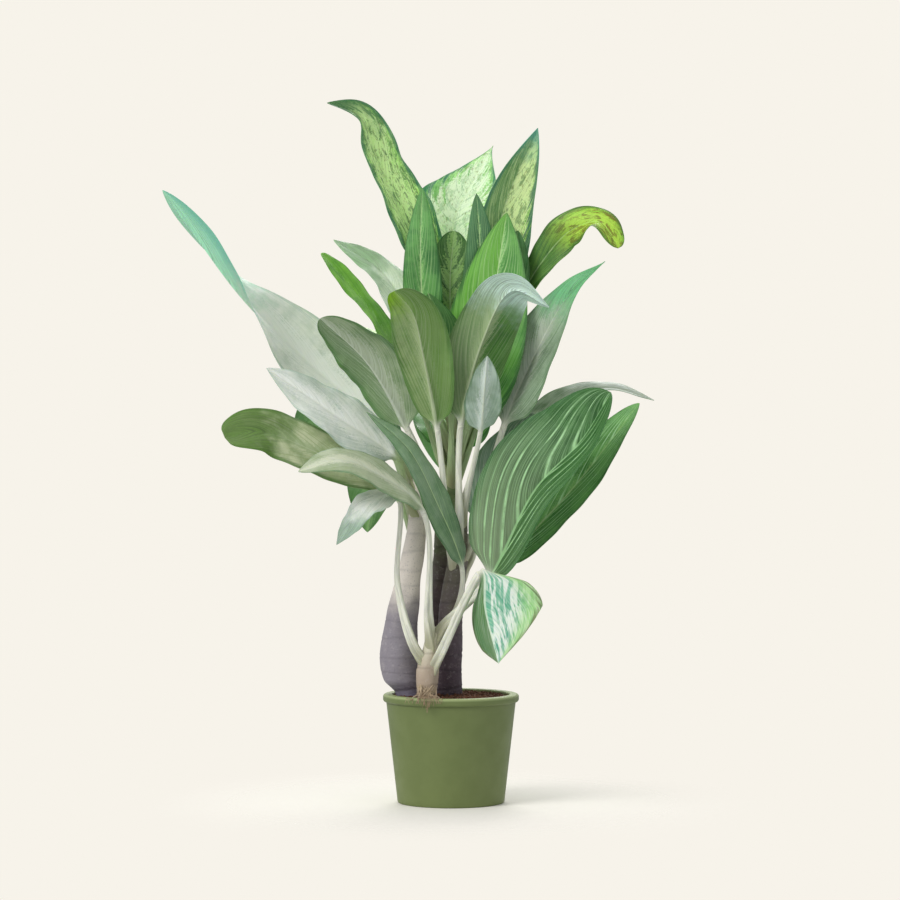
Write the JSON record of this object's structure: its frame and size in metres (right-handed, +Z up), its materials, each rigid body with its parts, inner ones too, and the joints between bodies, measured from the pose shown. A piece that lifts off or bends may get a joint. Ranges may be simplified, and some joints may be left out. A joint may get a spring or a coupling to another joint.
{
  "type": "potted dieffenbachia",
  "caption": "Leafy potted dieffenbachia with thick ringed canes and broad waved leaves, in a round olive green pot.",
  "frame": {"origin": "centre of the pot's flat underside", "axes": "+Z up along the pot's axis, -Y towards the side the plant is viewed from, +X to the viewer's right"},
  "size_m": [0.6171, 0.4659, 0.8801],
  "materials": {
    "pot_glaze": "matt olive green glaze, slightly mottled",
    "soil": "loose brown potting soil",
    "bark_grey": "dull grey-violet stem skin with ring-shaped leaf scars",
    "bark_dark": "dull dark plum stem skin with ring-shaped leaf scars",
    "shoot": "dull tan skin of a young stem",
    "leaf_lime": "satin leaf, lime with darker mottling",
    "leaf_bright": "satin leaf, fresh green with pale veins",
    "leaf_green": "satin leaf, mid green with a pale midrib",
    "leaf_veined": "satin leaf, dark green with strong pale veins",
    "leaf_teal": "satin leaf, bluish dark green",
    "leaf_olive": "satin leaf, olive underside with a pale midrib",
    "leaf_grey": "dull leaf, grey-green",
    "leaf_faded": "dull leaf, pale washed-out green",
    "leaf_mint": "satin leaf, mint and white bands"
  },
  "bodies": {
    "root": {"pot": "pot_glaze", "soil": "soil", "cane_left": "bark_grey", "cane_right": "bark_dark", "cane_back": "bark_dark", "shoot_front": "shoot", "leaf_top_left": "leaf_lime", "leaf_top_centre": "leaf_lime", "leaf_top_right": "leaf_lime", "leaf_right_arching": "leaf_lime", "leaf_upper_left_dark": "leaf_green", "leaf_centre_bright": "leaf_bright", "leaf_centre_hooked": "leaf_bright", "leaf_left_narrow": "leaf_bright", "leaf_left_behind": "leaf_green", "leaf_mottled_centre": "leaf_green", "leaf_behind_bright": "leaf_veined", "leaf_narrow_teal": "leaf_teal", "leaf_front_centre": "leaf_olive", "leaf_front_right": "leaf_olive", "leaf_mid_left": "leaf_grey", "leaf_right_folded": "leaf_grey", "leaf_inner_right": "leaf_grey", "leaf_left_rising": "leaf_teal", "leaf_right_behind": "leaf_green", "leaf_right_top_behind": "leaf_grey", "leaf_striped_behind": "leaf_veined", "leaf_far_left": "leaf_faded", "leaf_left_broad": "leaf_faded", "leaf_left_low": "leaf_olive", "leaf_front_left_low": "leaf_grey", "leaf_drooping_left": "leaf_faded", "leaf_right_big": "leaf_veined", "leaf_right_hanging": "leaf_mint", "leaf_back_high": "leaf_green", "leaf_back_left_high": "leaf_lime", "leaf_back_right_high": "leaf_green", "leaf_back_low": "leaf_green", "leaf_back_left_low": "leaf_green", "leaf_back_right_low": "leaf_veined", "leaf_back_left_lowest": "leaf_green"}
  },
  "joints": []
}
